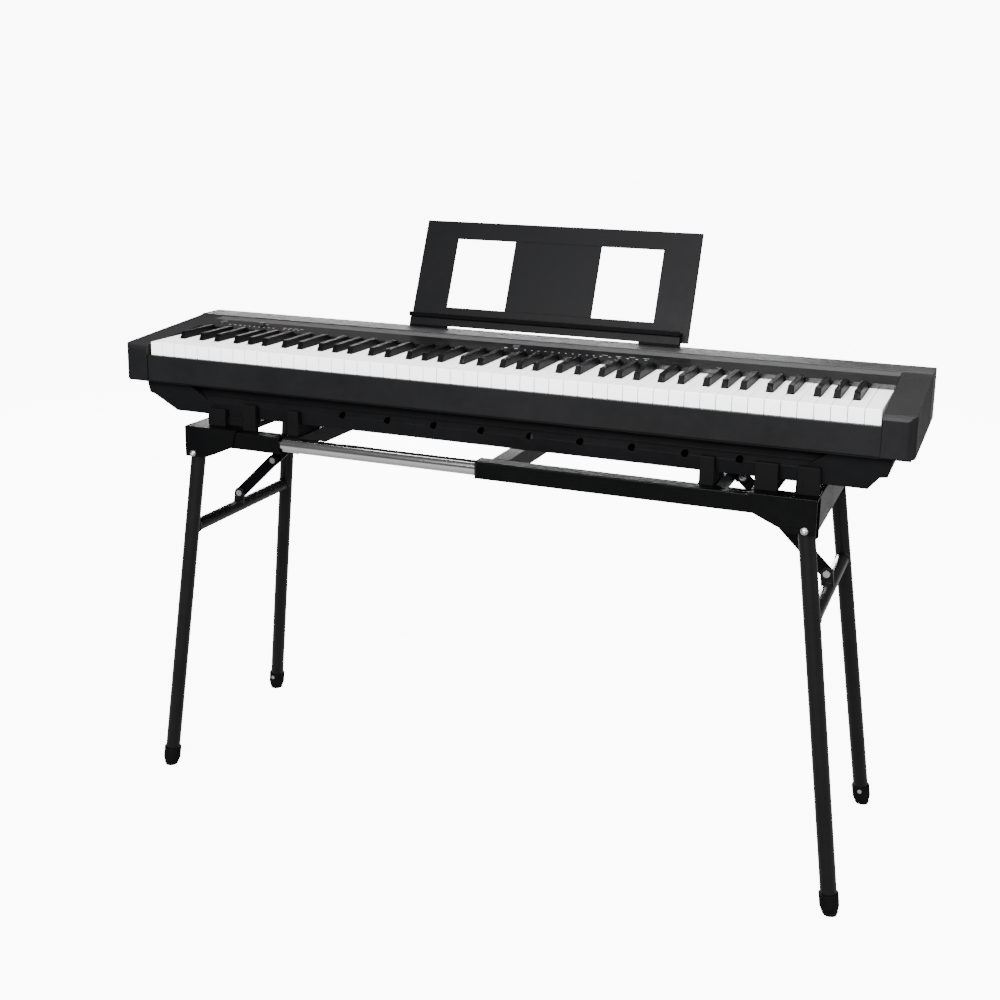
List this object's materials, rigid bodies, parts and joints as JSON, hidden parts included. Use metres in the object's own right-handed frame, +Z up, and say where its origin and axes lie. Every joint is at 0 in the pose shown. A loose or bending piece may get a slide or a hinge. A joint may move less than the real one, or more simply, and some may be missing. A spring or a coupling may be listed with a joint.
{
  "type": "digital piano on folding stand",
  "caption": "Slab digital piano with a leaning music rest, standing on a black folding table stand with splayed tube legs and a chrome telescoping rail.",
  "frame": {"origin": "centre of the bounding box footprint, on the floor", "axes": "+X along the keyboard towards the treble, +Y from the player to the back, +Z up"},
  "size_m": [1.32, 0.3953, 0.9751],
  "materials": {
    "case_black": "fine texture",
    "panel_gloss": "gloss",
    "inner_grey": "plain",
    "board_green": "solder mask",
    "speaker_metal": "satin",
    "fastener": "zinc plated",
    "rubber_black": "matt",
    "button_black": "satin",
    "rest_black": "satin",
    "collar_black": "satin",
    "tube_chrome": "polished",
    "key_white": "gloss",
    "key_black": "satin",
    "frame_black": "semi gloss powder coat"
  },
  "bodies": {
    "stand_frame": {"right_head": "frame_black", "outer_rail_front": "frame_black", "outer_rail_rear": "frame_black", "rail_collars": "collar_black", "middle_cross_member": "frame_black", "right_cross_member": "frame_black", "right_supports": "rubber_black", "right_frame_bolts": "fastener"},
    "left_frame": {"left_head": "frame_black", "inner_tube_front": "tube_chrome", "inner_tube_rear": "tube_chrome", "left_rail_front": "frame_black", "left_rail_rear": "frame_black", "left_cross_member": "frame_black", "left_supports": "rubber_black", "left_frame_bolts": "fastener"},
    "piano": {"bottom_case": "case_black", "top_cover": "case_black", "left_end_block": "case_black", "right_end_block": "case_black", "key_slip": "case_black", "control_panel": "panel_gloss", "key_frame": "inner_grey", "contact_board": "board_green", "main_board": "board_green", "rear_jacks": "inner_grey", "speaker_left": "speaker_metal", "speaker_right": "speaker_metal", "case_screws": "fastener", "case_feet": "rubber_black"},
    "music_rest": {"music_rest_board": "rest_black", "music_rest_ledge": "rest_black"},
    "left_legs": {"left_leg_front": "frame_black", "left_leg_rear": "frame_black", "left_leg_brace": "frame_black", "left_foot_caps": "rubber_black", "left_leg_rivets": "fastener"},
    "left_lower_link": {"left_lower_link": "frame_black", "left_knee_rivet": "fastener"},
    "left_upper_link": {"left_upper_link": "frame_black"},
    "right_legs": {"right_leg_front": "frame_black", "right_leg_rear": "frame_black", "right_leg_brace": "frame_black", "right_foot_caps": "rubber_black", "right_leg_rivets": "fastener"},
    "right_lower_link": {"right_lower_link": "frame_black", "right_knee_rivet": "fastener"},
    "right_upper_link": {"right_upper_link": "frame_black"},
    "white_keys_bass": {"white_keys_bass": "key_white"},
    "black_keys_bass": {"black_keys_bass": "key_black"},
    "key_c4": {"key_c4": "key_white"},
    "key_c_sharp4": {"key_c_sharp4": "key_black"},
    "key_d4": {"key_d4": "key_white"},
    "key_d_sharp4": {"key_d_sharp4": "key_black"},
    "key_e4": {"key_e4": "key_white"},
    "white_keys_treble": {"white_keys_treble": "key_white"},
    "black_keys_treble": {"black_keys_treble": "key_black"},
    "power_button": {"power_button": "button_black"},
    "function_button": {"function_button": "button_black"},
    "volume_slider": {"volume_slider": "button_black"}
  },
  "joints": [
    {"name": "width_slide", "type": "slide", "parent": "stand_frame", "child": "left_frame", "axis": [1, 0, 0], "range_m": [0, 0.1]},
    {"name": "piano_lift_off", "type": "slide", "parent": "stand_frame", "child": "piano", "axis": [0, 0, 1], "range_m": [0, 0.15]},
    {"name": "music_rest_lift_out", "type": "slide", "parent": "piano", "child": "music_rest", "axis": [0, 0, 1], "range_m": [0, 0.05]},
    {"name": "right_legs_fold", "type": "hinge", "parent": "stand_frame", "child": "right_legs", "pos_m": [0.518, -0.02182, 0.593], "axis": [0, 1, 0], "range_deg": [0, 88]},
    {"name": "left_legs_fold", "type": "hinge", "parent": "left_frame", "child": "left_legs", "pos_m": [-0.518, -0.02182, 0.593], "axis": [0, -1, 0], "range_deg": [0, 76]},
    {"name": "right_lower_link_turn", "type": "hinge", "parent": "right_legs", "child": "right_lower_link", "pos_m": [0.53224, -0.02182, 0.47889], "axis": [0, 1, 0], "range_deg": [0, 18.3]},
    {"name": "left_lower_link_turn", "type": "hinge", "parent": "left_legs", "child": "left_lower_link", "pos_m": [-0.53224, -0.02182, 0.47889], "axis": [0, -1, 0], "range_deg": [0, 23.6]},
    {"name": "right_upper_link_turn", "type": "hinge", "parent": "stand_frame", "child": "right_upper_link", "pos_m": [0.392, -0.02182, 0.616], "axis": [0, -1, 0], "range_deg": [0, 48.6]},
    {"name": "left_upper_link_turn", "type": "hinge", "parent": "left_frame", "child": "left_upper_link", "pos_m": [-0.392, -0.02182, 0.616], "axis": [0, 1, 0], "range_deg": [0, 40.7]},
    {"name": "power_button_press", "type": "slide", "parent": "piano", "child": "power_button", "axis": [0, 0, -1], "range_m": [0, 0.0015], "stiffness_N_per_m": 400, "springref_m": -0.001},
    {"name": "function_button_press", "type": "slide", "parent": "piano", "child": "function_button", "axis": [0, 0, -1], "range_m": [0, 0.0015], "stiffness_N_per_m": 400, "springref_m": -0.001},
    {"name": "volume_slide", "type": "slide", "parent": "piano", "child": "volume_slider", "axis": [1, 0, 0], "range_m": [-0.022, 0.022]},
    {"name": "white_keys_bass_press", "type": "hinge", "parent": "piano", "child": "white_keys_bass", "pos_m": [0, 0.06118, 0.764], "axis": [1, 0, 0], "range_deg": [0, 2.5], "stiffness_Nm_per_rad": 22, "springref_deg": -5.73},
    {"name": "black_keys_bass_press", "type": "hinge", "parent": "piano", "child": "black_keys_bass", "pos_m": [0, 0.06118, 0.764], "axis": [1, 0, 0], "range_deg": [0, 3], "stiffness_Nm_per_rad": 14, "springref_deg": -5.73},
    {"name": "key_c4_press", "type": "hinge", "parent": "piano", "child": "key_c4", "pos_m": [0, 0.06118, 0.764], "axis": [1, 0, 0], "range_deg": [0, 2.5], "stiffness_Nm_per_rad": 1, "springref_deg": -5.73},
    {"name": "key_c_sharp4_press", "type": "hinge", "parent": "piano", "child": "key_c_sharp4", "pos_m": [0, 0.06118, 0.764], "axis": [1, 0, 0], "range_deg": [0, 3], "stiffness_Nm_per_rad": 1, "springref_deg": -5.73},
    {"name": "key_d4_press", "type": "hinge", "parent": "piano", "child": "key_d4", "pos_m": [0, 0.06118, 0.764], "axis": [1, 0, 0], "range_deg": [0, 2.5], "stiffness_Nm_per_rad": 1, "springref_deg": -5.73},
    {"name": "key_d_sharp4_press", "type": "hinge", "parent": "piano", "child": "key_d_sharp4", "pos_m": [0, 0.06118, 0.764], "axis": [1, 0, 0], "range_deg": [0, 3], "stiffness_Nm_per_rad": 1, "springref_deg": -5.73},
    {"name": "key_e4_press", "type": "hinge", "parent": "piano", "child": "key_e4", "pos_m": [0, 0.06118, 0.764], "axis": [1, 0, 0], "range_deg": [0, 2.5], "stiffness_Nm_per_rad": 1, "springref_deg": -5.73},
    {"name": "white_keys_treble_press", "type": "hinge", "parent": "piano", "child": "white_keys_treble", "pos_m": [0, 0.06118, 0.764], "axis": [1, 0, 0], "range_deg": [0, 2.5], "stiffness_Nm_per_rad": 25, "springref_deg": -5.73},
    {"name": "black_keys_treble_press", "type": "hinge", "parent": "piano", "child": "black_keys_treble", "pos_m": [0, 0.06118, 0.764], "axis": [1, 0, 0], "range_deg": [0, 3], "stiffness_Nm_per_rad": 16, "springref_deg": -5.73}
  ],
  "couplings": [
    {"joint": "right_lower_link_turn", "follows": "right_legs_fold", "ratio": 0.2063},
    {"joint": "right_upper_link_turn", "follows": "right_legs_fold", "ratio": 0.551},
    {"joint": "left_lower_link_turn", "follows": "left_legs_fold", "ratio": 0.3084},
    {"joint": "left_upper_link_turn", "follows": "left_legs_fold", "ratio": 0.5336}
  ]
}
